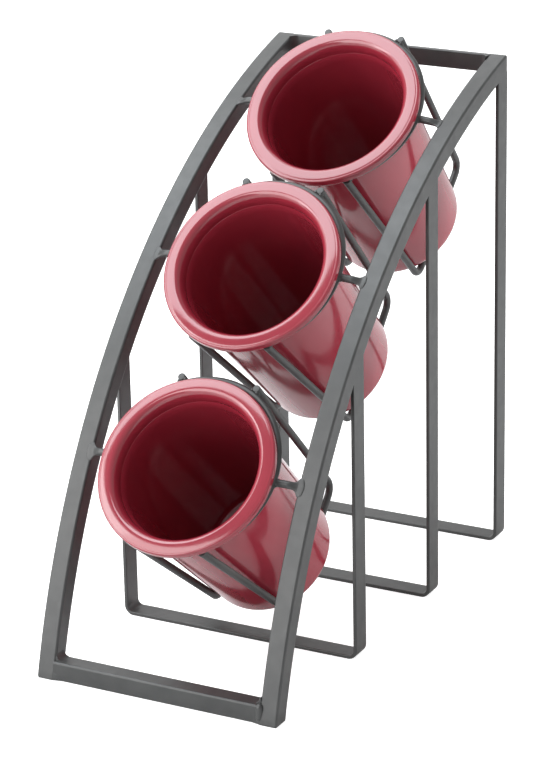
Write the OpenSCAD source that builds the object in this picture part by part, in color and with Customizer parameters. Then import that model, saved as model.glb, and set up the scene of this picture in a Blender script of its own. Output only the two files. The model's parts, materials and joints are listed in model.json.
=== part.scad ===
/* [Rails] */
// Side of the square steel bar that the two curved rails are bent from
rail_bar = 12.7; // [9:0.1:16]
// Radius on the long edges of the square and flat bars
bar_edge = 1.5; // [0.4:0.1:1.6]
// Width of the frame over the rails' outer faces
frame_w = 173; // [166:1:200]
// Height of the rails' upper ends above the table
rail_height = 347; // [330:1:370]
// Depth from the rails' feet back to their upper ends
rail_depth = 345.5; // [330:0.5:370]
// Radius of the arc that the rails' front faces follow
rail_radius = 481; // [440:1:560]

/* [Crossbars] */
// Height of the front crossbar's underside above the table
front_bar_lift = 0; // [0:0.5:6]
// Setback of the front crossbar's face behind the rails' feet
front_bar_set = 1.5; // [0:0.5:3]
// Thickness of the flat top crossbar
top_bar_t = 4; // [3:0.5:7]
// Height of the flat top crossbar
top_bar_h = 12; // [8:0.5:14]
// Drop of the top crossbar's upper edge below the rails' upper ends
top_bar_drop = 0.5; // [0:0.5:3]

/* [Leg straps] */
// Thickness of the flat strap that the three U-shaped legs are bent from
strap_t = 2.5; // [2:0.1:4]
// Width of the flat strap, front to back
strap_w = 14.5; // [10:0.5:18]
// Outer radius of each leg's two bottom bends
strap_bend = 6.5; // [6:0.5:14]
// Distance from one leg to the next
strap_pitch = 110; // [95:1:120]

/* [Rings and cradles] */
// Diameter of the round wire of the rings and cradles
wire_d = 5; // [4:0.25:6]
// Diameter of the stub rods between the rings and the rails
stub_d = 5; // [3.5:0.25:6]
// Inset of a ring's wire, at its middle, from the edge of the cup's rim
ring_inset = 2.5; // [1.5:0.25:3.5]
// Distance along the rails from their feet to the lower ring
lower_ring_at = 151.5; // [145:0.5:165]
// Distance along the rails from the upper ring to their upper ends
upper_ring_room = 85; // [78:0.5:92]
// Height of a ring's middle over the rails' front faces
ring_lift = 3; // [2:0.25:4]
// Lap of the stub rods over the rails' front faces
stub_lap = 2.5; // [2:0.5:8]
// Depth of the flat where a stub rod is set down on the rail's face
stub_flat = 0.5; // [0.2:0.1:1]
// Depth that a stub rod's inner end is welded into the ring
stub_bite = 1.6; // [0.4:0.1:2]
// Spacing of the two cradle wires under each cup, middle to middle
cradle_span = 54; // [40:1:64]
// Room between the cup and the cradle wires above it, at the cup's floor
cradle_room = 15; // [8:1:18]
// Inner radius of the cradle wires' bends
cradle_bend = 5.5; // [3:0.5:6]
// Reach of the cradle wires' ends in front of the ring's middle
cradle_tip = 2; // [0:0.25:2]
// Depth that a cradle wire is welded into the ring
cradle_bite = 0.3; // [0.1:0.05:0.6]

/* [Tiers] */
// Lean of the lower cup's axis, forward from upright
lower_tilt = 48; // [44:1:52]
// Lean of the middle cup's axis, forward from upright
middle_tilt = 47; // [43:1:50]
// Lean of the upper cup's axis, forward from upright
upper_tilt = 43; // [38:1:46]
// Distance along the rails from the lower ring's middle down to its stub rods
lower_stub_drop = 2; // [0:0.5:8]
// Distance along the rails from the middle ring's middle down to its stub rods
middle_stub_drop = 0.5; // [0:0.5:8]
// Distance along the rails from the upper ring's middle down to its stub rods
upper_stub_drop = 1.5; // [0:0.5:8]

/* [Cups] */
// Outer diameter of the rim
rim_d = 120; // [112:1:126]
// Height of the rim's outer lip
lip_h = 6.5; // [4.5:0.5:8]
// Radius on the lip's outer edges
lip_round = 1.8; // [0.6:0.1:2.2]
// Width of the rim's flange, from the body out to its edge
flange_w = 9.8; // [9:0.1:12]
// Radius of the flare where the flange rolls into the bore
flare_r = 5; // [3:0.5:6]
// Outer diameter of the body just above the floor's rounded edge
base_d = 89; // [80:1:94]
// Height of the cup, from the rim down to its foot
cup_h = 148; // [135:1:152]
// Thickness of the cup's wall
cup_wall = 3; // [2:0.25:4]
// Thickness of the cup's floor
cup_floor = 4; // [2.5:0.25:6]
// Radius of the rounded edge around the floor
corner_r = 8; // [6:0.5:14]
// Depth of the ledge in the bore below the rim
ledge_depth = 10; // [8:0.5:24]
// Width of the ledge in the bore
ledge_w = 0.7; // [0.3:0.1:1.2]
// Width of the foot ring under the floor
foot_ring_w = 6; // [3:0.5:10]
// Depth of the recess inside the foot ring
foot_recess = 1; // [0.5:0.25:2]
// Gap that keeps a lifting cup free of the wires that carry it
seat_gap = 0.3; // [0.1:0.05:0.5]

/* [Hidden] */
$fn = 96;

LOWER = 0;
MIDDLE = 1;
UPPER = 2;
LEFT = -1;
RIGHT = 1;
FRAME_COLOUR = [0.17, 0.17, 0.17];
CUP_COLOUR = [0.62, 0.10, 0.17];
// Flat steps in each rounded edge of a bar's section
edge_steps = 3;
// Extra length on cutting and trimmed shapes
spare = 1;
// Extra sweep at each end of a rail's arc, trimmed off square
spare_angle = 4;
// Swell of the wire at a bend, and the reach of a straight run into it
bend_swell = 0.02;
bend_reach = 0.4;

// Middle of the rails' arc, seen from the side
rail_chord = norm([rail_depth, rail_height]);
arc_fall = sqrt(pow(rail_radius, 2) - pow(rail_chord / 2, 2));
arc_y = rail_depth / 2 + arc_fall * rail_height / rail_chord;
arc_z = rail_height / 2 - arc_fall * rail_depth / rail_chord;
// Directions from the arc's middle to the rails' feet and upper ends, measured from straight up
foot_angle = atan2(arc_y, -arc_z);
end_angle = atan2(arc_y - rail_depth, rail_height - arc_z);
rail_length = rail_radius * (foot_angle - end_angle) * PI / 180;

rail_inner_x = frame_w / 2 - rail_bar;
rail_under_r = rail_radius - rail_bar;

wire_r = wire_d / 2;
stub_r = stub_d / 2;
rim_r = rim_d / 2;
ring_r = rim_r - ring_inset;
body_top_r = rim_r - flange_w;
body_base_r = base_d / 2;
bore_top_r = body_top_r - cup_wall;
bore_base_r = body_base_r - cup_wall;
// Height of the cup's rim over the ring's middle
rim_rise = lip_h + seat_gap + wire_r;
// Slip of the cup down the slope until its body meets the ring
cup_slip = ring_r - wire_r - seat_gap - body_top_r;

// The cradle wires' path beside the cup: along the slope, then along the cup's axis
cradle_x = cradle_span / 2;
cradle_front = sqrt(pow(ring_r + wire_d - cradle_bite, 2) - pow(cradle_x, 2));
base_half = sqrt(pow(body_base_r, 2) - pow(cradle_x, 2));
cradle_high = base_half + cradle_room + wire_r - cup_slip;
cradle_low = -base_half - seat_gap - wire_r - cup_slip;
cradle_back = rim_rise - cup_h - seat_gap - wire_r;
cradle_path = [
    [cradle_front, cradle_tip],
    [cradle_high, cradle_back],
    [cradle_low, cradle_back],
    [-cradle_front, cradle_tip],
];
bend_r = cradle_bend + wire_r;

// Where the rings stand along the rails, the middle one halfway, and how each tier leans
tilts = [lower_tilt, middle_tilt, upper_tilt];
stub_drops = [lower_stub_drop, middle_stub_drop, upper_stub_drop];
ring_seat_r = rail_radius + ring_lift;
stub_seat_r = rail_radius + stub_r - stub_flat;
ring_pitch = (rail_length - lower_ring_at - upper_ring_room) / 2;
function ring_at(tier) = lower_ring_at + tier * ring_pitch;
function seat_angle(along) = foot_angle - along / rail_radius * 180 / PI;
function seat_point(along, seat_r) = [
    0,
    arc_y - seat_r * sin(seat_angle(along)),
    arc_z + seat_r * cos(seat_angle(along)),
];
function ring_centre(tier) = seat_point(ring_at(tier), ring_seat_r);
function stub_centre(tier) = seat_point(ring_at(tier) - stub_drops[tier], stub_seat_r);

// Rounded corner of a path: half the angle inside it, and the middle of its arc
function unit(v) = v / norm(v);
function half_angle(a, p, b) = acos(unit(a - p) * unit(b - p)) / 2;
function bend_middle(a, p, b, r) = p + unit(unit(a - p) + unit(b - p)) * r / sin(half_angle(a, p, b));
function bend_start(a, p, b, r) = p + unit(a - p) * r / tan(half_angle(a, p, b));

// The object reaches from the rails' feet back to the upper cradle's rear bend
rear_bend = bend_middle(cradle_path[0], cradle_path[1], cradle_path[2], bend_r);
rear_bend_y = rear_bend[0] * cos(upper_tilt) - rear_bend[1] * sin(upper_tilt);
depth = ring_centre(UPPER)[1] + rear_bend_y + bend_r + wire_r + bend_swell;

// Moves the drawing from the rails' feet to the middle of the object's footprint
module centred() {
    translate([0, -depth / 2, 0]) children();
}

// Ring's own frame: Y up the slope, Z out along the cup's axis
module at_ring(tier) {
    centred() translate(ring_centre(tier)) rotate([tilts[tier], 0, 0]) children();
}

// Disc about the rails' arc, from one side position to another
module arc_disc(radius, from_x, to_x) {
    translate([from_x, arc_y, arc_z]) rotate([0, 90, 0]) cylinder(h = to_x - from_x, r = radius);
}

// Quarter turn about a corner's middle, in flat steps
function bar_corner(middle, from) = [
    for (i = [0 : edge_steps])
        middle + bar_edge * [cos(from + 90 * i / edge_steps), sin(from + 90 * i / edge_steps)]
];

// Section of a bar with rounded edges
module bar_section(width, height) {
    right = width - bar_edge;
    top = height - bar_edge;
    polygon(concat(
        bar_corner([right, top], 0),
        bar_corner([bar_edge, top], 90),
        bar_corner([bar_edge, bar_edge], 180),
        bar_corner([right, bar_edge], 270)
    ));
}

// Bar that runs from one rail's inner face to the other
module between_rails(width, height) {
    translate([-rail_inner_x, 0, 0]) rotate([90, 0, 90])
        linear_extrude(2 * rail_inner_x) bar_section(width, height);
}

module rail(side) {
    sweep = foot_angle - end_angle + 2 * spare_angle;
    inner = side == LEFT ? -frame_w / 2 : rail_inner_x;
    color(FRAME_COLOUR) centred() intersection() {
        translate([inner, arc_y, arc_z]) rotate([0, 90, 0])
            rotate([0, 0, 180 + end_angle - spare_angle])
                rotate_extrude(angle = sweep)
                    translate([rail_under_r, 0]) bar_section(rail_bar, rail_bar);
        translate([-frame_w, -rail_depth, 0]) cube([2 * frame_w, 2 * rail_depth, 2 * rail_height]);
    }
}

module front_crossbar() {
    color(FRAME_COLOUR) centred() translate([0, front_bar_set, front_bar_lift])
        between_rails(rail_bar, rail_bar);
}

module top_crossbar() {
    color(FRAME_COLOUR) centred()
        translate([0, rail_depth - top_bar_t, rail_height - top_bar_drop - top_bar_h])
            between_rails(top_bar_t, top_bar_h);
}

// Upright tray outline with two rounded bottom corners
module tray(half_w, low, r) {
    translate([-half_w, low + r]) square([2 * half_w, rail_height]);
    translate([r - half_w, low]) square([2 * half_w - 2 * r, 2 * r]);
    for (side = [LEFT, RIGHT])
        translate([side * (half_w - r), low + r]) circle(r = r);
}

// U-shaped leg: its uprights end against the rails' undersides
module leg_strap(steps_from_rear) {
    front_y = rail_depth - strap_w - steps_from_rear * strap_pitch;
    color(FRAME_COLOUR) centred() intersection() {
        translate([0, front_y + strap_w, 0]) rotate([90, 0, 0]) linear_extrude(strap_w) difference() {
            tray(frame_w / 2, 0, strap_bend);
            tray(frame_w / 2 - strap_t, strap_t, strap_bend - strap_t);
        }
        arc_disc(rail_under_r, -frame_w, frame_w);
    }
}

module ring(tier) {
    color(FRAME_COLOUR) at_ring(tier) rotate_extrude() translate([ring_r, 0]) circle(r = wire_r);
}

// Short rod from the ring to the rail, flattened where it laps the rail's face
module stub(tier, side) {
    from_x = sqrt(pow(ring_r, 2) - pow(stub_drops[tier], 2)) + wire_r - stub_bite;
    to_x = rail_inner_x + stub_lap;
    color(FRAME_COLOUR) centred() difference() {
        translate(stub_centre(tier)) rotate([0, side * 90, 0]) translate([0, 0, from_x])
            cylinder(h = to_x - from_x, r = stub_r);
        if (side == LEFT) arc_disc(rail_radius, -frame_w, -rail_inner_x);
        else arc_disc(rail_radius, rail_inner_x, frame_w);
    }
}

// Straight run of wire between two points of a flat path, carried on past each end by a set reach
module straight(a, b, reach_a, reach_b) {
    translate([a[0], a[1], 0]) rotate([0, 0, atan2(b[1] - a[1], b[0] - a[0])]) rotate([0, 90, 0])
        translate([0, 0, -reach_a]) cylinder(h = norm(b - a) + reach_a + reach_b, r = wire_r);
}

// Rounded corner of wire at p, on the way from a to b, on a path that turns clockwise
module bend(a, p, b) {
    middle = bend_middle(a, p, b, bend_r);
    first = bend_start(b, p, a, bend_r) - middle;
    translate([middle[0], middle[1], 0]) rotate([0, 0, atan2(first[1], first[0])])
        rotate_extrude(angle = 180 - 2 * half_angle(a, p, b))
            translate([bend_r, 0]) circle(r = wire_r + bend_swell);
}

// Wire that runs from the top of the ring, behind the cup's floor, to the ring's underside
module cradle(tier, side) {
    p = cradle_path;
    back_from = bend_start(p[2], p[1], p[0], bend_r);
    back_to = bend_start(p[1], p[2], p[3], bend_r);
    color(FRAME_COLOUR) at_ring(tier) translate([side * cradle_x, 0, 0]) rotate([90, 0, 90]) {
        straight(p[0], bend_start(p[0], p[1], p[2], bend_r), 0, bend_reach);
        bend(p[0], p[1], p[2]);
        straight(back_from, back_to, bend_reach, bend_reach);
        bend(p[1], p[2], p[3]);
        straight(bend_start(p[3], p[2], p[1], bend_r), p[3], bend_reach, 0);
    }
}

// Half section of a tapered vessel with a rounded floor edge, from z = top down to z = low
module vessel(top_r, base_r, top, low, edge_r) {
    polygon([[0, top], [top_r, top], [base_r, low + edge_r], [0, low + edge_r]]);
    translate([0, low]) square([base_r - edge_r, 2 * edge_r]);
    translate([base_r - edge_r, low + edge_r]) circle(r = edge_r);
}

// Half section of the rim: a flat flange with a rounded lip
module rim_section() {
    inner = bore_top_r;
    translate([inner, -lip_h]) square([rim_r - lip_round - inner, lip_h]);
    translate([inner, lip_round - lip_h]) square([rim_r - inner, lip_h - 2 * lip_round]);
    for (z = [-lip_round, lip_round - lip_h])
        translate([rim_r - lip_round, z]) circle(r = lip_round);
}

// Half section of the space inside the cup, flared at the mouth, with a ledge below the flare
module bore_section() {
    edge_r = corner_r - cup_wall;
    low = cup_floor - cup_h;
    vessel(bore_top_r, bore_base_r, spare, low, edge_r);
    translate([0, -ledge_depth]) square([bore_top_r + ledge_w, ledge_depth + spare]);
    difference() {
        translate([0, -flare_r]) square([bore_top_r + ledge_w + flare_r, flare_r + spare]);
        translate([bore_top_r + ledge_w + flare_r, -flare_r]) circle(r = flare_r);
    }
}

module cup(tier) {
    recess_r = body_base_r - corner_r - foot_ring_w;
    color(CUP_COLOUR) at_ring(tier) translate([0, -cup_slip, rim_rise]) difference() {
        union() {
            rotate_extrude() vessel(body_top_r, body_base_r, -lip_h / 2, -cup_h, corner_r);
            rotate_extrude() rim_section();
        }
        rotate_extrude() bore_section();
        translate([0, 0, -cup_h - spare]) cylinder(h = foot_recess + spare, r = recess_r);
    }
}

rail(LEFT);  // left_rail
rail(RIGHT);  // right_rail
front_crossbar();
top_crossbar();
leg_strap(2);  // front_leg_strap
leg_strap(1);  // middle_leg_strap
leg_strap(0);  // rear_leg_strap
ring(LOWER);  // lower_ring
ring(MIDDLE);  // middle_ring
ring(UPPER);  // upper_ring
stub(LOWER, LEFT);  // lower_left_stub
stub(LOWER, RIGHT);  // lower_right_stub
stub(MIDDLE, LEFT);  // middle_left_stub
stub(MIDDLE, RIGHT);  // middle_right_stub
stub(UPPER, LEFT);  // upper_left_stub
stub(UPPER, RIGHT);  // upper_right_stub
cradle(LOWER, LEFT);  // lower_left_cradle
cradle(LOWER, RIGHT);  // lower_right_cradle
cradle(MIDDLE, LEFT);  // middle_left_cradle
cradle(MIDDLE, RIGHT);  // middle_right_cradle
cradle(UPPER, LEFT);  // upper_left_cradle
cradle(UPPER, RIGHT);  // upper_right_cradle
cup(LOWER);  // lower_cup
cup(MIDDLE);  // middle_cup
cup(UPPER);  // upper_cup
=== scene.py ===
import json
import math

import bmesh
import bpy
from mathutils import Matrix, Vector


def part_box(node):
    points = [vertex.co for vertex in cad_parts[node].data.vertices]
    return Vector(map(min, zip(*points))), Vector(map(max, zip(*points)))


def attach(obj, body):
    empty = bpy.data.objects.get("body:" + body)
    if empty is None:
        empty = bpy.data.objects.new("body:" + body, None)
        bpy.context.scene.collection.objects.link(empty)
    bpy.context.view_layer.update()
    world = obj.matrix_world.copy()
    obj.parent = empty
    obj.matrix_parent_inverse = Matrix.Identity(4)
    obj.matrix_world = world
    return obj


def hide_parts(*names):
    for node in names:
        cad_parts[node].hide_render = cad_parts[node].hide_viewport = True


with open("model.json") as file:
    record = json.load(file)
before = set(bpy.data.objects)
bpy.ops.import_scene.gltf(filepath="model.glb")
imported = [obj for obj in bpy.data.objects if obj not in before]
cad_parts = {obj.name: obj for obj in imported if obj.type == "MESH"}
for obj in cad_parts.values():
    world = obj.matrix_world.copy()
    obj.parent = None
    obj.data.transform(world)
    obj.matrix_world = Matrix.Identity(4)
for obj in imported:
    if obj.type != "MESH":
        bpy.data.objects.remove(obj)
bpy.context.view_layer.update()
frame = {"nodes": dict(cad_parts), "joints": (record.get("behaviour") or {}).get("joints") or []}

MM = 0.001
QUARTER_TURN = math.pi / 2
SIDES = {"left": -1, "right": 1}
TIERS = ("lower", "middle", "upper")
LEGS = ("front", "middle", "rear")

# Square and flat bars
RAIL_RADIUS = 481 * MM
RAIL_BAR = 12.7 * MM
RAIL_UNDER_R = RAIL_RADIUS - RAIL_BAR
BAR_EDGE = 1.5 * MM
BAR_RUN_IN = 1 * MM
END_ROUND = 1.4 * MM
STRAP_T = 2.5 * MM
STRAP_BEND = 6.5 * MM
STRAP_EDGE = 0.6 * MM

# Cup: its radii, heights and thicknesses, and the gap to its ring
RIM_R = 60 * MM
LIP_H = 6.5 * MM
LIP_ROUND = 1.8 * MM
NECK_ROUND = 1.5 * MM
BODY_TOP_R = 50.2 * MM
BODY_BASE_R = 44.5 * MM
CUP_H = 148 * MM
CUP_WALL = 3 * MM
CUP_FLOOR = 4 * MM
CORNER_R = 8 * MM
SEAT_GAP = 0.3 * MM
POLE_R = 0.4 * MM

# Recess inside the cup's foot ring, and the slope and easing of its edge
FOOT_RING_W = 6 * MM
FOOT_RECESS = 1 * MM
RECESS_SLOPE = 0.5 * MM
RECESS_EASE = 0.1 * MM

# Mouth: a deep flare, and a small ledge in the bore, rounded over a turn in degrees, with a toe below
FLARE_W = 5 * MM
FLARE_H = 8 * MM
LEDGE_DEPTH = 10 * MM
LEDGE_W = 0.45 * MM
LEDGE_ROUND_H = 0.4 * MM
LEDGE_TURN = 50
LEDGE_TOE_W = 0.15 * MM
LEDGE_TOE_H = 0.5 * MM
LEDGE_END = 1 * MM
BORE_START = 2 * MM
BORE_TOP_R = BODY_TOP_R - CUP_WALL
MOUTH_R = BORE_TOP_R + LEDGE_W
FLARE_EDGE_R = MOUTH_R + FLARE_W

# Flange: the arc in which it falls from the flare, the lower edge of its lip and a fine line between them
FLANGE_ARC_R = 40 * MM
LIP_EDGE = 1.4 * MM
LIP_FALL = 0.14 * MM
LIP_LINE_W = 0.8 * MM
LIP_LINE_DEPTH = 0.05 * MM

# Round wire of the rings, stub rods and cradles
WIRE_R = 2.5 * MM
STUB_R = 2.5 * MM
RING_R = 57.5 * MM
WIRE_END = 0.5 * MM

# Path of a cradle wire beside its cup: up the slope, and out along the cup's axis
CRADLE_X = 27 * MM
CRADLE_ROOM = 15 * MM
CRADLE_BITE = 0.3 * MM
CRADLE_TIP = 2 * MM
CRADLE_BEND = 8 * MM
CUP_SLIP = RING_R - WIRE_R - SEAT_GAP - BODY_TOP_R
BASE_HALF = math.sqrt(BODY_BASE_R ** 2 - CRADLE_X ** 2)
CRADLE_FRONT = math.sqrt((RING_R + 2 * WIRE_R - CRADLE_BITE) ** 2 - CRADLE_X ** 2)
CRADLE_HIGH = BASE_HALF + CRADLE_ROOM + WIRE_R - CUP_SLIP
CRADLE_LOW = -BASE_HALF - SEAT_GAP - WIRE_R - CUP_SLIP
CRADLE_BACK = LIP_H - CUP_H
CRADLE_PATH = [
    (CRADLE_FRONT, CRADLE_TIP),
    (CRADLE_HIGH, CRADLE_BACK),
    (CRADLE_LOW, CRADLE_BACK),
    (-CRADLE_FRONT, CRADLE_TIP),
]

# Fillets: their legs, the hollow and the sunk root as shares of a leg, and the span of an edge they cover
LEG_FILLET = 3.2 * MM
TOP_FILLET = 4.6 * MM
CORNER_FILLET = 4 * MM
CORNER_INSET = 0.8 * MM
FILLET_HOLLOW = 0.22
FILLET_SINK = 0.12
WELD_SPAN = 0.04, 0.96
TOP_WELD_SPAN = 0.05, 0.98

# Beads: their radii, places and numbers of ripples, and the shares for their tips and the ripples' depth
BAR_BEAD = 1.7 * MM
BAR_BEAD_IN = 1.6 * MM
BAR_BEAD_UP = 0.9 * MM
BAR_BEAD_START = 8 * MM
BAR_RIPPLES = 4
FRONT_BEAD = 2.6 * MM
FRONT_BEAD_IN = 0.2 * MM
FRONT_BEAD_SINK = 1.6 * MM
FRONT_BEAD_SPAN = 0.1, 1.07
WIRE_BEAD = 1.5 * MM
WIRE_BEAD_ASIDE = 2.1 * MM
WIRE_BEAD_PATH = [w * MM for w in (-2.2, -0.8, 0.8, 2.2)]
WIRE_RIPPLES = 3
BEAD_TIP = 0.03
RIPPLE_DEPTH = 0.16

# Ramps of weld metal from the rails' front faces to the front crossbar's
FRONT_RAMP = 5.5 * MM
RAMP_LAP = 1.2 * MM
RAMP_SINK = 0.1 * MM
RAMP_BACK = 1 * MM
RAMP_BEND = 0.75
RAMP_SWELL = 0.12
RAMP_WAVES = 5

# Weld metal on the stub rods, at the ring and where their feet spread over the rail
RING_FLARE = 1.5 * MM
RING_FLARE_LENGTH = 2.8 * MM
RING_FLARE_FLAT = 0.6
FOOT_UP = 2.9 * MM
FOOT_DOWN = 3.8 * MM
FOOT_LENGTH = 4.5 * MM
FOOT_LAP = 4.2 * MM
FOOT_TOP = 0.5 * MM
FOOT_UNDER = 2.6 * MM
FOOT_SETTLE = 6.5 * MM
FOOT_TIP = 0.35
FOOT_END = 0.02
FOOT_SIZE = {"lower": 1, "middle": 0.7, "upper": 0.45}

# Fineness of the meshes
EDGE_STEPS = 5
LEAST_EDGE = 0.1
CREASE = 0.12 * MM
RAIL_STEPS = 120
WIRE_SIDES = 28
RING_STEPS = 160
STUB_STEPS = 48
BEND_STEPS = 16
CUP_STEPS = 192
WALL_STEPS = 24
CORNER_STEPS = 12
INNER_CORNER_STEPS = 10
ROUND_STEPS = 8
FLANGE_STEPS = 12
FLARE_STEPS = 18
LEDGE_STEPS = 4
BEAD_STEPS = 12
RIPPLE_STEPS = 6
LEG_FILLET_STEPS = 10
TOP_FILLET_STEPS = 8
CORNER_FILLET_STEPS = 6
FRONT_BEAD_STEPS = 8
RAMP_STEPS = 12
RAMP_CURVE_STEPS = 8
SHARP_ANGLE = math.radians(50)

# Noise values between which a finish drifts from its low to its high colour or roughness
COLOUR_RANGE = 0.35, 0.65
ROUGHNESS_RANGE = 0.3, 0.7

# Studio: the floor's size and the lights' target, in metres, and two colours
FLOOR_SIZE = 14
LIGHT_TARGET = Vector((0, 0, 0.18))
COOL_TINT = (0.9, 0.96, 1)
WHITE = (1, 1, 1, 1)

# Light of the room and the backdrop, and the Y and Z of a direction where the backdrop starts and is full
ROOM_LIGHT = 0.4
BACKDROP_LIGHT = 1
BACKDROP_SIDES = -0.1, 0.4
BACKDROP_TOP = 0.45, 0.1

# Camera, measured from the floor midway between the rails' feet
CAMERA_RIGHT = 900.21 * MM
CAMERA_FORWARD = 1508.99 * MM
CAMERA_UP = 838.07 * MM
CAMERA_AZIMUTH = math.radians(28.29)
CAMERA_ELEVATION = math.radians(19.67)
CAMERA_ROLL = math.radians(-1.151)
CAMERA_LENS = 144.87
CAMERA_REACH = 50


# Mesh building

def full_turn(steps):
    return [2 * math.pi * k / steps for k in range(steps)]


def stations(start, stop, steps, span=(0, 1)):
    """Evenly spaced values over a span, given as two shares of the way from start to stop."""
    first, last = span
    return [start + (stop - start) * (first + (last - first) * k / steps) for k in range(steps + 1)]


def loft(rings, loop=False):
    """Skin over rings of equal count, as points and faces. Open ends get a cap."""
    count = len(rings[0])
    points = [Vector(p) for ring in rings for p in ring]
    faces = []
    for i in range(len(rings) if loop else len(rings) - 1):
        a, b = i * count, (i + 1) % len(rings) * count
        for j in range(count):
            k = (j + 1) % count
            faces.append((a + j, a + k, b + k, b + j))
    if not loop:
        last = len(points) - count
        faces.append(tuple(range(count)))
        faces.append(tuple(range(last, last + count)))
    return points, faces


def tube(path, radius, loop=False, normal=None):
    """Round wire along a path. The radius is one number, or a list with one for each point."""
    path = [Vector(p) for p in path]
    radii = radius if isinstance(radius, list) else [radius] * len(path)
    count = len(path)
    side = Vector(normal) if normal else None
    rings = []
    for i, (point, r) in enumerate(zip(path, radii)):
        before = path[i - 1] if i or loop else point
        after = path[(i + 1) % count] if i < count - 1 or loop else point
        along = (after - before).normalized()
        if side is None:
            side = along.orthogonal()
        side = (side - along * side.dot(along)).normalized()
        other = along.cross(side)
        rings.append([
            point + r * (side * math.cos(t) + other * math.sin(t))
            for t in full_turn(WIRE_SIDES)
        ])
    return loft(rings, loop)


def rounded_wire(path, normal):
    """Open wire whose two cut ends have a small rounded edge."""
    first, last = Vector(path[0]), Vector(path[-1])
    start = (Vector(path[1]) - first).normalized()
    stop = (Vector(path[-2]) - last).normalized()
    turns = stations(0, QUARTER_TURN, EDGE_STEPS)
    sinks = [WIRE_END * (1 - math.sin(t)) for t in turns]
    radii = [WIRE_R - WIRE_END * (1 - math.cos(t)) for t in turns]
    head = [first + start * s for s in reversed(sinks)]
    tail = [last + stop * s for s in sinks]
    points = head + [Vector(p) for p in path[1:-1]] + tail
    return tube(points, radii[::-1] + [WIRE_R] * (len(path) - 2) + radii, normal=normal)


def bar_section(low, high, edge):
    """Rectangle with rounded corners, from its low corner to its high corner.

    A point on the flat close to each end of a rounding keeps the flats flat in smooth shading."""
    left, right = low[0] + edge, high[0] - edge
    under, over = low[1] + edge, high[1] - edge
    section = []
    for quarter, (x, y) in enumerate([(right, over), (left, over), (left, under), (right, under)]):
        start, stop = QUARTER_TURN * quarter, QUARTER_TURN * (quarter + 1)
        turns = stations(start, stop, EDGE_STEPS)
        rounding = [(x + edge * math.cos(t), y + edge * math.sin(t)) for t in turns]
        before = rounding[0][0] + CREASE * math.sin(start), rounding[0][1] - CREASE * math.cos(start)
        after = rounding[-1][0] - CREASE * math.sin(stop), rounding[-1][1] + CREASE * math.cos(stop)
        section += [before, *rounding, after]
    return section


def inset_section(low, high, edge, inset):
    """The same rounded rectangle, drawn in by an inset on all sides."""
    return bar_section(
        (low[0] + inset, low[1] + inset),
        (high[0] - inset, high[1] - inset),
        max(edge - inset, edge * LEAST_EDGE),
    )


def end_rounding(edge):
    """Steps of a rounded end, from its flat face out: how far in from the sides, and from the face."""
    for t in reversed(stations(0, QUARTER_TURN, EDGE_STEPS)):
        yield edge * (1 - math.cos(t)), edge * (1 - math.sin(t))


def fillet(corners, towards_a, towards_b, leg):
    """Hollow weld fillet along a corner, with one leg along each of two faces and its root behind both."""
    a, b = Vector(towards_a) * leg, Vector(towards_b) * leg
    rings = []
    for corner in map(Vector, corners):
        curve = []
        for t in stations(0, 1, 2 * EDGE_STEPS):
            pull = 2 * t * (1 - t) * FILLET_HOLLOW
            curve.append(corner + a * ((1 - t) ** 2 + pull) + b * (t ** 2 + pull))
        root = corner - (a + b) * FILLET_SINK
        rings.append([root + b * FILLET_SINK + a, *curve, root + a * FILLET_SINK + b, root])
    return loft(rings)


def bead(path, radius, ripples=0):
    """Rounded weld bead along a path, drawn in at both ends, with a number of ripples across it."""
    path = [Vector(p) for p in path]
    steps = max(BEAD_STEPS, ripples * RIPPLE_STEPS)
    points, radii = [], []
    for share in stations(0, 1, steps):
        spot = share * (len(path) - 1)
        i = min(int(spot), len(path) - 2)
        points.append(path[i].lerp(path[i + 1], spot - i))
        taper = math.sqrt(max(1 - (2 * share - 1) ** 4, BEAD_TIP))
        ripple = 1 - RIPPLE_DEPTH * abs(math.sin(math.pi * ripples * share))
        radii.append(radius * taper * ripple)
    return tube(points, radii)


def make_piece(name, skins, body, slot, material, *nodes):
    """One mesh object made of skins, riding on a body and standing for the CAD nodes named."""
    mesh = bpy.data.meshes.new(name)
    shape = bmesh.new()
    for points, faces in skins:
        corners = [shape.verts.new(p) for p in points]
        for face in faces:
            shape.faces.new([corners[i] for i in face])
    bmesh.ops.recalc_face_normals(shape, faces=shape.faces)
    for face in shape.faces:
        face.smooth = True
    shape.to_mesh(mesh)
    shape.free()
    mesh.set_sharp_from_angle(angle=SHARP_ANGLE)
    mesh.materials.append(material)
    piece = bpy.data.objects.new(name, mesh)
    bpy.context.scene.collection.objects.link(piece)
    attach(piece, body)
    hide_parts(*nodes)


def steel(name, skins, *nodes):
    make_piece(name, skins, "frame", "powder_coat", POWDER_COAT, *nodes)


# Materials

def add_node(tree, kind, inputs):
    """New shader node. Each input is another node's output, which is linked, or a value."""
    node = tree.nodes.new(kind)
    for socket, value in inputs.items():
        if isinstance(value, bpy.types.NodeSocket):
            tree.links.new(value, node.inputs[socket])
        else:
            node.inputs[socket].default_value = value
    return node


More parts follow.
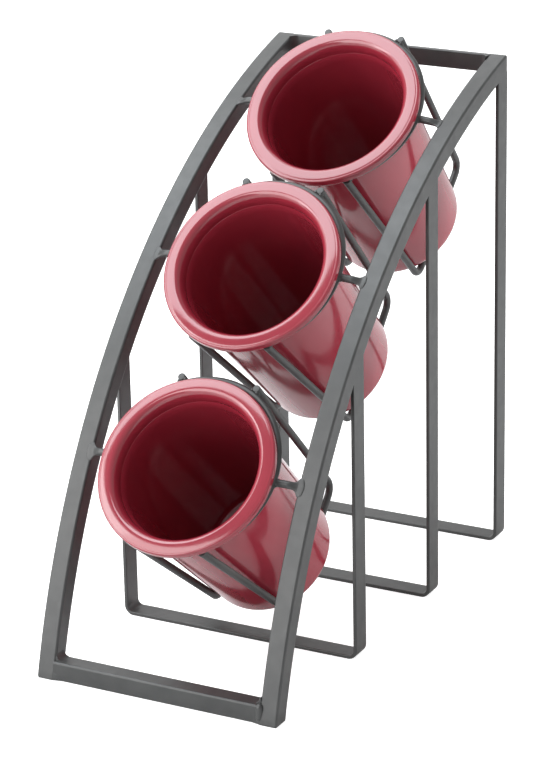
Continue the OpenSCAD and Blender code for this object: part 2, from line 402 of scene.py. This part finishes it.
class Finish:
    """Principled material whose colour, roughness and bump can follow noise over the piece."""

    def __init__(self, name):
        self.material = bpy.data.materials.new(name)
        self.material.use_nodes = True
        self.tree = self.material.node_tree
        self.shader = next(n for n in self.tree.nodes if n.type == "BSDF_PRINCIPLED")
        self.place = self.tree.nodes.new("ShaderNodeTexCoord").outputs["Object"]

    def set(self, socket, value):
        self.shader.inputs[socket].default_value = value

    def join(self, output, socket):
        self.tree.links.new(output, self.shader.inputs[socket])

    def noise(self, scale, detail):
        inputs = {"Vector": self.place, "Scale": scale, "Detail": detail}
        return add_node(self.tree, "ShaderNodeTexNoise", inputs).outputs["Fac"]

    def colour(self, noise, low, high):
        """Base colour that drifts between two tones."""
        ramp = add_node(self.tree, "ShaderNodeValToRGB", {"Fac": noise})
        for element, position, tone in zip(ramp.color_ramp.elements, COLOUR_RANGE, (low, high)):
            element.position = position
            element.color = (*tone, 1)
        self.join(ramp.outputs["Color"], "Base Color")

    def roughness(self, noise, low, high):
        """Roughness that drifts between two values."""
        start, stop = ROUGHNESS_RANGE
        inputs = {"Value": noise, "From Min": start, "From Max": stop, "To Min": low, "To Max": high}
        self.join(add_node(self.tree, "ShaderNodeMapRange", inputs).outputs["Result"], "Roughness")

    def bump(self, height, depth, strength, under=None):
        """Normal of a bumpy skin, which may lie on another one under it."""
        inputs = {"Height": height, "Distance": depth, "Strength": strength}
        if under:
            inputs["Normal"] = under
        return add_node(self.tree, "ShaderNodeBump", inputs).outputs["Normal"]


def powder_coat():
    """Semi-gloss charcoal powder coat with a fine orange-peel skin."""
    finish = Finish("powder_coat")
    finish.colour(finish.noise(scale=70, detail=4), low=(0.044, 0.045, 0.045), high=(0.055, 0.056, 0.055))
    finish.roughness(finish.noise(scale=160, detail=3), low=0.36, high=0.44)
    peel = finish.bump(finish.noise(scale=620, detail=2), depth=0.05 * MM, strength=0.5)
    grain = finish.bump(finish.noise(scale=2400, detail=1), depth=0.01 * MM, strength=0.35, under=peel)
    finish.join(grain, "Normal")
    finish.set("Specular IOR Level", 0.6)
    return finish.material


def melamine():
    """Glossy cranberry melamine with the slight waviness of a moulding."""
    finish = Finish("melamine")
    finish.colour(finish.noise(scale=22, detail=3), low=(0.285, 0.0225, 0.04), high=(0.315, 0.027, 0.045))
    finish.roughness(finish.noise(scale=120, detail=5), low=0.08, high=0.12)
    finish.join(finish.bump(finish.noise(scale=45, detail=1), depth=0.06 * MM, strength=0.12), "Normal")
    finish.set("Specular IOR Level", 1)
    return finish.material


def floor_paint():
    """Pale, evenly lit studio floor."""
    finish = Finish("studio_floor")
    finish.colour(finish.noise(scale=3, detail=2), low=(0.74, 0.74, 0.74), high=(0.76, 0.76, 0.76))
    finish.set("Roughness", 0.9)
    finish.set("Specular IOR Level", 0.1)
    finish.set("Emission Color", WHITE)
    finish.set("Emission Strength", 0.75)
    return finish.material


POWDER_COAT = powder_coat()
MELAMINE = melamine()


# Curve of the rails, seen from the side, from the frame's own box

rail_low, rail_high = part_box("right_rail")
rise = Vector((rail_high.y - rail_low.y, rail_high.z))
fall = math.sqrt(RAIL_RADIUS ** 2 - (rise.length / 2) ** 2)
arc_y = rail_low.y + rise.x / 2 + fall * rise.y / rise.length
arc_z = rise.y / 2 - fall * rise.x / rise.length


def on_arc(x, radius, turn):
    """Point at a radius from the centre of the rails' arc, turned forward from straight up."""
    return Vector((x, arc_y - radius * math.sin(turn), arc_z + radius * math.cos(turn)))


def turn_at_height(radius, z):
    return math.acos((z - arc_z) / radius)


def turn_at_depth(radius, y):
    return math.asin((arc_y - y) / radius)


def rail_front(z):
    """Depth of the rails' front faces at a height."""
    return on_arc(0, RAIL_RADIUS, turn_at_height(RAIL_RADIUS, z)).y


# Bars and straps

def rail(side):
    """Curved square bar, cut level at its foot and upright at its top, with eased ends."""
    low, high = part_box(f"{side}_rail")
    corners = (low.x, RAIL_UNDER_R), (high.x, RAIL_RADIUS)

    def foot(inset, lift):
        outline = inset_section(*corners, BAR_EDGE, inset)
        return [on_arc(x, r, turn_at_height(r, lift)) for x, r in outline]

    def top(inset, lift):
        outline = inset_section(*corners, BAR_EDGE, inset)
        return [on_arc(x, r, turn_at_depth(r, high.y - lift)) for x, r in outline]

    body = []
    section = bar_section(*corners, BAR_EDGE)
    for share in stations(0, 1, RAIL_STEPS)[1:-1]:
        ring = []
        for x, r in section:
            start, stop = turn_at_height(r, END_ROUND), turn_at_depth(r, high.y - END_ROUND)
            ring.append(on_arc(x, r, start + share * (stop - start)))
        body.append(ring)
    ends = list(end_rounding(END_ROUND))
    return loft([foot(*e) for e in ends] + body + [top(*e) for e in reversed(ends)])


def crossbar(node, edge):
    """Straight bar between the rails, run a little into them under the weld."""
    low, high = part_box(node)
    section = bar_section((low.y, low.z), (high.y, high.z), edge)
    return loft([[(x, y, z) for y, z in section] for x in (low.x - BAR_RUN_IN, high.x + BAR_RUN_IN)])


def leg_strap(node):
    """U-shaped leg of flat strap, its uprights carried up to the rails' side faces."""
    low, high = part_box(node)
    middle = STRAP_BEND - STRAP_T / 2
    half = high.x - STRAP_T / 2
    bend = stations(0, QUARTER_TURN, BEND_STEPS)
    path = [(Vector((-half, 0, 0)), Vector((-1, 0, 0)))]
    for hand in SIDES.values():
        for t in bend if hand < 0 else reversed(bend):
            out = Vector((hand * math.cos(t), 0, -math.sin(t)))
            path.append((Vector((hand * (half - middle), 0, STRAP_BEND)) + middle * out, out))
    path.append((Vector((half, 0, 0)), Vector((1, 0, 0))))
    section = bar_section((-STRAP_T / 2, low.y), (STRAP_T / 2, high.y), STRAP_EDGE)
    rings = []
    for i, (point, out) in enumerate(path):
        ring = [point + out * across + Vector((0, y, 0)) for across, y in section]
        if i in (0, len(path) - 1):
            under = RAIL_UNDER_R + BAR_EDGE
            ring = [Vector((p.x, p.y, on_arc(0, under, turn_at_depth(under, p.y)).z)) for p in ring]
        rings.append(ring)
    return loft(rings)


# Weld metal at the bars

def leg_welds():
    """Fillets inside the corner between each leg's upright and the rail over it."""
    skins = []
    for leg in LEGS:
        low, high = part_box(f"{leg}_leg_strap")
        depths = stations(low.y, high.y, LEG_FILLET_STEPS, WELD_SPAN)
        for hand in SIDES.values():
            x = hand * (high.x - STRAP_T)
            corners = [on_arc(x, RAIL_UNDER_R, turn_at_depth(RAIL_UNDER_R, y)) for y in depths]
            skins.append(fillet(corners, (-hand, 0, 0), (0, 0, -1), LEG_FILLET))
    return skins


def front_bar_ramp(low, high, hand):
    """Weld metal that ramps, a little wavy, from a rail's front face to the front crossbar's."""
    x = hand * high.x
    back = low.y + RAMP_BACK
    rings = []
    for k, z in enumerate(stations(low.z, high.z, RAMP_STEPS, WELD_SPAN)):
        rail_y = rail_front(z)
        swell = 1 - RAMP_SWELL * math.cos(2 * math.pi * RAMP_WAVES * k / RAMP_STEPS)
        length = FRONT_RAMP * swell + RAMP_LAP
        ring = []
        for t in stations(0, 1, RAMP_CURVE_STEPS):
            y = rail_y + RAMP_SINK + (low.y - rail_y) * t ** RAMP_BEND
            ring.append((x + hand * (RAMP_LAP - length * t), y, z))
        ring.append((x - hand * FRONT_RAMP / 2, back, z))
        ring.append((x + hand * RAMP_LAP, back, z))
        rings.append(ring)
    return loft(rings)


def front_bar_welds():
    """Ramps and top fillets at both ends of the front crossbar, and two beads at its right end."""
    low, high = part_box("front_crossbar")
    depths = stations(rail_front(high.z) + CORNER_INSET, high.y - CORNER_INSET, CORNER_FILLET_STEPS)
    skins = []
    for hand in SIDES.values():
        skins.append(front_bar_ramp(low, high, hand))
        corners = [(hand * high.x, y, high.z) for y in depths]
        skins.append(fillet(corners, (-hand, 0, 0), (0, 0, 1), CORNER_FILLET))
    bead_ends = high.y - BAR_BEAD_START, high.y - CORNER_INSET
    over = [(high.x - BAR_BEAD_IN, y, high.z + BAR_BEAD_UP) for y in bead_ends]
    skins.append(bead(over, BAR_BEAD, BAR_RIPPLES))
    down = []
    for z in stations(low.z, high.z, FRONT_BEAD_STEPS, FRONT_BEAD_SPAN):
        down.append((high.x - FRONT_BEAD_IN, min(rail_front(z), low.y) + FRONT_BEAD_SINK, z))
    skins.append(bead(down, FRONT_BEAD))
    return skins


def top_bar_welds():
    """Fillets down the corners between the top crossbar's face and the rails."""
    low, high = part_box("top_crossbar")
    heights = stations(low.z, high.z, TOP_FILLET_STEPS, TOP_WELD_SPAN)
    skins = []
    for hand in SIDES.values():
        corners = [(hand * high.x, low.y, z) for z in heights]
        skins.append(fillet(corners, (-hand, 0, 0), (0, -1, 0), TOP_FILLET))
    return skins


# Rings, stub rods and cradles

def stub_widths(from_ring, past_edge, lap, size):
    """Half widths of a stub rod: up and down the slope, out of the rail's face and into it."""
    flare = RING_FLARE * max(0, 1 - from_ring / RING_FLARE_LENGTH) ** 2
    grow = min(max(0, 1 + past_edge / FOOT_LENGTH) ** 3, 1)
    settle = min(max(0, 1 + past_edge / FOOT_SETTLE), 1)
    settle = settle ** 2 * (3 - 2 * settle)
    fade = math.sqrt(max(1 - max(0, past_edge / lap) ** 4, FOOT_END))
    up = (STUB_R + flare + FOOT_UP * size * grow) * fade
    down = (STUB_R + flare + FOOT_DOWN * size * grow) * fade
    rod = STUB_R + flare * RING_FLARE_FLAT
    top = (rod + (FOOT_TOP - STUB_R) * settle) * (FOOT_TIP + (1 - FOOT_TIP) * fade)
    under = rod + (FOOT_UNDER - STUB_R) * grow
    return up, down, top, under


class Tier:
    """Wire of one tier, placed by the ring's middle, the cup's axis and the way up the slope."""

    def __init__(self, name):
        low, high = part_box(f"{name}_ring")
        self.name = name
        self.middle = (low + high) / 2
        lift = next(j for j in frame["joints"] if j["child"] == f"{name}_cup")
        self.axis = Vector(lift["axis"]).normalized()
        self.up = self.axis.cross(Vector((1, 0, 0)))

    def at(self, x, up, out):
        return self.middle + Vector((x, 0, 0)) + self.up * up + self.axis * out

    def ring(self):
        path = [self.at(RING_R * math.cos(t), RING_R * math.sin(t), 0) for t in full_turn(RING_STEPS)]
        return tube(path, WIRE_R, loop=True, normal=self.axis)

    def stub(self, side):
        """Rod from the ring to the rail, whose weld spreads over the rail's face and along its edge."""
        low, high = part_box(f"{self.name}_{side}_stub")
        hand = SIDES[side]
        inner = low.x if hand > 0 else high.x
        reach = abs(hand * (rail_high.x - RAIL_BAR) - inner)
        axis = (low + high) / 2
        seat = Vector((arc_y - axis.y, axis.z - arc_z))
        normal = Vector((0, -seat.x, seat.y)).normalized()
        uphill = Vector((0, normal.z, -normal.y))
        lift = seat.length - RAIL_RADIUS
        size = FOOT_SIZE[self.name]
        lap = FOOT_LAP * size
        rings = []
        for from_ring in stations(0, reach + lap, STUB_STEPS):
            up, down, top, under = stub_widths(from_ring, from_ring - reach, lap, size)
            middle = Vector((inner + hand * from_ring, axis.y, axis.z))
            middle -= normal * lift * min(from_ring / reach, 1)
            ring = []
            for t in full_turn(WIRE_SIDES):
                along = (up if math.cos(t) > 0 else down) * math.cos(t)
                out = (top if math.sin(t) > 0 else under) * math.sin(t)
                ring.append(middle + uphill * along + normal * out)
            rings.append(ring)
        return loft(rings)

    def cradle(self, side):
        """Wire from the top of the ring, behind the cup's floor, to the ring's underside."""
        corners = [Vector(p) for p in CRADLE_PATH]
        flat = [corners[0]]
        for i in (1, 2):
            to_last = (corners[i - 1] - corners[i]).normalized()
            to_next = (corners[i + 1] - corners[i]).normalized()
            half = to_last.angle(to_next) / 2
            middle = corners[i] + (to_last + to_next).normalized() * CRADLE_BEND / math.sin(half)
            start = corners[i] + to_last * CRADLE_BEND / math.tan(half) - middle
            stop = corners[i] + to_next * CRADLE_BEND / math.tan(half) - middle
            sweep = start.angle_signed(stop)
            for turn in stations(0, -sweep, BEND_STEPS):
                flat.append(middle + Matrix.Rotation(turn, 2) @ start)
        flat.append(corners[3])
        path = [self.at(SIDES[side] * CRADLE_X, u, w) for u, w in flat]
        return rounded_wire(path, normal=(1, 0, 0))

    def welds(self):
        """Beads in the crooks between the ring and the cradle wires that cross it."""
        skins = []
        for hand in SIDES.values():
            for end in (-1, 1):
                spot = Vector((hand * CRADLE_X, end * CRADLE_FRONT)).normalized() * (RING_R + WIRE_R)
                tangent = Vector((-spot.y, spot.x)).normalized()
                for aside in (-WIRE_BEAD_ASIDE, WIRE_BEAD_ASIDE):
                    root = spot + tangent * aside
                    path = [self.at(root.x, root.y, w) for w in WIRE_BEAD_PATH]
                    skins.append(bead(path, WIRE_BEAD, WIRE_RIPPLES))
        return skins


# Cups

def turned(middle, start, stop, radius, steps=ROUND_STEPS):
    """Points of a rounded corner in a cup's profile, between two angles in degrees."""
    x, z = middle
    turns = stations(math.radians(start), math.radians(stop), steps)
    return [(x + radius * math.cos(t), z + radius * math.sin(t)) for t in turns]


def flange_z(r):
    """Height of the flange, which falls in an arc from the flare's edge."""
    return math.sqrt(FLANGE_ARC_R ** 2 - (r - FLARE_EDGE_R) ** 2) - FLANGE_ARC_R


def cup_outside():
    """Half section of a cup's outside, from the middle of its underside to its lip."""
    recess_r = BODY_BASE_R - CORNER_R - FOOT_RING_W
    recess_z = FOOT_RECESS - CUP_H
    corner_z = CORNER_R - CUP_H
    neck_z = -LIP_H - NECK_ROUND
    profile = [
        (POLE_R, recess_z),
        (recess_r - RECESS_SLOPE, recess_z),
        (recess_r, recess_z - RECESS_EASE),
        (recess_r + RECESS_SLOPE, RECESS_EASE - CUP_H),
        (recess_r + 2 * RECESS_SLOPE, -CUP_H),
    ]
    profile += turned((BODY_BASE_R - CORNER_R, corner_z), -90, 0, CORNER_R, CORNER_STEPS)
    wall = zip(stations(BODY_BASE_R, BODY_TOP_R, WALL_STEPS), stations(corner_z, neck_z, WALL_STEPS))
    profile += list(wall)[1:-1]
    profile += turned((BODY_TOP_R + NECK_ROUND, neck_z), 180, 90, NECK_ROUND)
    profile += turned((RIM_R - LIP_ROUND, LIP_ROUND - LIP_H), -90, 0, LIP_ROUND)
    return profile


def cup_mouth():
    """Half section of a cup's rim, from its lip over the flange and down the flare to the ledge."""
    lip_r = RIM_R - LIP_EDGE
    flange_r = lip_r - LIP_LINE_W
    lip_z = flange_z(flange_r) - LIP_FALL
    ledge_z = LEDGE_ROUND_H - LEDGE_DEPTH
    profile = turned((lip_r, lip_z - LIP_EDGE), 0, 90, LIP_EDGE)
    profile.append((lip_r - LIP_LINE_W / 2, lip_z - LIP_LINE_DEPTH))
    for r in stations(flange_r, FLARE_EDGE_R, FLANGE_STEPS):
        profile.append((r, flange_z(r)))
    for turn in stations(0, QUARTER_TURN, FLARE_STEPS)[1:]:
        profile.append((FLARE_EDGE_R - FLARE_W * math.sin(turn), FLARE_H * (math.cos(turn) - 1)))
    profile += turned((BORE_TOP_R, ledge_z), 0, -LEDGE_TURN, LEDGE_W, LEDGE_STEPS)
    profile.append((BORE_TOP_R + LEDGE_TOE_W, -LEDGE_DEPTH - LEDGE_TOE_H))
    profile.append((BORE_TOP_R, -LEDGE_DEPTH - LEDGE_END))
    return profile


def cup_inside():
    """Half section of a cup's bore, from below the ledge to the middle of its floor."""
    base_r = BODY_BASE_R - CUP_WALL
    corner = CORNER_R - CUP_WALL
    floor_z = CUP_FLOOR - CUP_H
    corner_z = floor_z + corner
    profile = []
    for z in stations(-LEDGE_DEPTH - BORE_START, corner_z, WALL_STEPS):
        profile.append((BORE_TOP_R + (base_r - BORE_TOP_R) * z / corner_z, z))
    profile += turned((base_r - corner, corner_z), 0, -90, corner, INNER_CORNER_STEPS)[1:]
    profile.append((POLE_R, floor_z))
    return profile


def cup(tier):
    """Turned shell standing where the CAD cup stands."""
    node = frame["nodes"][f"{tier.name}_cup"]
    outs = [v.co.dot(tier.axis) for v in node.data.vertices]
    ups = [v.co.dot(tier.up) for v in node.data.vertices]
    base = tier.axis * max(outs) + tier.up * (max(ups) + min(ups)) / 2
    rings = []
    for r, z in cup_outside() + cup_mouth() + cup_inside():
        middle = base + tier.axis * z
        rings.append([
            middle + Vector((r * math.cos(t), 0, 0)) + tier.up * r * math.sin(t)
            for t in full_turn(CUP_STEPS)
        ])
    return loft(rings)


# The steel frame

for side in SIDES:
    steel(f"{side}_rail_bar", [rail(side)], f"{side}_rail")
steel("front_bar", [crossbar("front_crossbar", BAR_EDGE)], "front_crossbar")
steel("top_bar", [crossbar("top_crossbar", BAR_EDGE / 2)], "top_crossbar")
for leg in LEGS:
    steel(f"{leg}_leg", [leg_strap(f"{leg}_leg_strap")], f"{leg}_leg_strap")
steel("leg_welds", leg_welds())
steel("front_bar_welds", front_bar_welds())
steel("top_bar_welds", top_bar_welds())

# The three tiers of wire and cups

for tier in map(Tier, TIERS):
    steel(f"{tier.name}_ring_wire", [tier.ring()], f"{tier.name}_ring")
    for side in SIDES:
        steel(f"{tier.name}_{side}_stub_rod", [tier.stub(side)], f"{tier.name}_{side}_stub")
        steel(f"{tier.name}_{side}_cradle_wire", [tier.cradle(side)], f"{tier.name}_{side}_cradle")
    steel(f"{tier.name}_ring_welds", tier.welds())
    node = f"{tier.name}_cup"
    make_piece(f"{node}_shell", [cup(tier)], node, "melamine", MELAMINE, node)


# Floor, light and camera

def add_floor():
    """Pale floor. Its glow only keeps it white: the part gets the floor's bounce, not the glow."""
    mesh = bpy.data.meshes.new("floor")
    reach = FLOOR_SIZE / 2
    corners = [(-reach, -reach, 0), (reach, -reach, 0), (reach, reach, 0), (-reach, reach, 0)]
    mesh.from_pydata(corners, [], [(0, 1, 2, 3)])
    mesh.materials.append(floor_paint())
    floor = bpy.data.objects.new("floor", mesh)
    bpy.context.scene.collection.objects.link(floor)
    lit_by_glow = bpy.data.collections.new("lit_by_floor_glow")
    lit_by_glow.objects.link(floor)
    floor.light_linking.receiver_collection = lit_by_glow


def add_softbox(name, place, size, power, tint=(1, 1, 1), mirrored=True):
    """Square light turned to the part. One that isn't mirrored throws no highlight."""
    light = bpy.data.lights.new(name, "AREA")
    light.color = tint
    light.size = size
    light.energy = power
    lamp = bpy.data.objects.new(name, light)
    lamp.visible_glossy = mirrored
    lamp.location = place
    lamp.rotation_euler = (LIGHT_TARGET - Vector(place)).to_track_quat("-Z", "Y").to_euler()
    bpy.context.scene.collection.objects.link(lamp)


def add_room_light():
    """Dim light from all round and a pale backdrop behind, seen by the camera itself as white."""
    world = bpy.data.worlds.new("studio")
    world.use_nodes = True
    tree = world.node_tree
    tree.nodes.clear()

    def fade(value, span):
        inputs = {"Value": value, "From Min": span[0], "From Max": span[1]}
        node = add_node(tree, "ShaderNodeMapRange", inputs)
        node.interpolation_type = "SMOOTHSTEP"
        return node.outputs["Result"]

    generated = tree.nodes.new("ShaderNodeTexCoord").outputs["Generated"]
    way = add_node(tree, "ShaderNodeSeparateXYZ", {"Vector": generated}).outputs
    shares = {0: fade(way["Y"], BACKDROP_SIDES), 1: fade(way["Z"], BACKDROP_TOP)}
    backdrop = add_node(tree, "ShaderNodeMath", shares)
    backdrop.operation = "MULTIPLY"
    limits = {"Value": backdrop.outputs["Value"], "To Min": ROOM_LIGHT, "To Max": BACKDROP_LIGHT}
    strength = add_node(tree, "ShaderNodeMapRange", limits).outputs["Result"]
    room = add_node(tree, "ShaderNodeBackground", {"Color": WHITE, "Strength": strength})
    seen = add_node(tree, "ShaderNodeBackground", {"Color": WHITE, "Strength": 1})
    by_camera = tree.nodes.new("ShaderNodeLightPath").outputs["Is Camera Ray"]
    layers = {"Fac": by_camera, 1: room.outputs["Background"], 2: seen.outputs["Background"]}
    both = add_node(tree, "ShaderNodeMixShader", layers)
    add_node(tree, "ShaderNodeOutputWorld", {"Surface": both.outputs["Shader"]})
    bpy.context.scene.world = world


def add_camera():
    """Camera at the photograph's place, looking along its azimuth and elevation, with a slight roll."""
    az, el = CAMERA_AZIMUTH, CAMERA_ELEVATION
    ahead = Vector((-math.sin(az) * math.cos(el), math.cos(az) * math.cos(el), -math.sin(el)))
    level = Vector((math.cos(az), math.sin(az), 0))
    upright = level.cross(ahead)
    right = level * math.cos(CAMERA_ROLL) + upright * math.sin(CAMERA_ROLL)
    up = right.cross(ahead)
    lens = bpy.data.cameras.new("camera")
    lens.lens = CAMERA_LENS
    lens.clip_end = CAMERA_REACH
    camera = bpy.data.objects.new("camera", lens)
    camera.matrix_world = Matrix((right, up, -ahead)).transposed().to_4x4()
    camera.location = CAMERA_RIGHT, rail_low.y - CAMERA_FORWARD, CAMERA_UP
    bpy.context.scene.collection.objects.link(camera)
    bpy.context.scene.camera = camera


add_floor()
add_softbox("key_softbox", place=(-1.84, -1.0, 1.19), size=1.35, power=12)
add_softbox("top_softbox", place=(-0.95, -0.15, 2.1), size=1.6, power=36, tint=COOL_TINT)
add_softbox("front_softbox", place=(-1.3, -1.9, 1.0), size=2.0, power=45)
add_softbox("back_softbox", place=(-1.0, 1.3, 1.7), size=1.6, power=11)
add_softbox("fill_softbox", place=(2.2, 1.0, 0.7), size=1.4, power=44, mirrored=False)
add_room_light()
add_camera()
bpy.context.scene.view_settings.view_transform = "Standard"
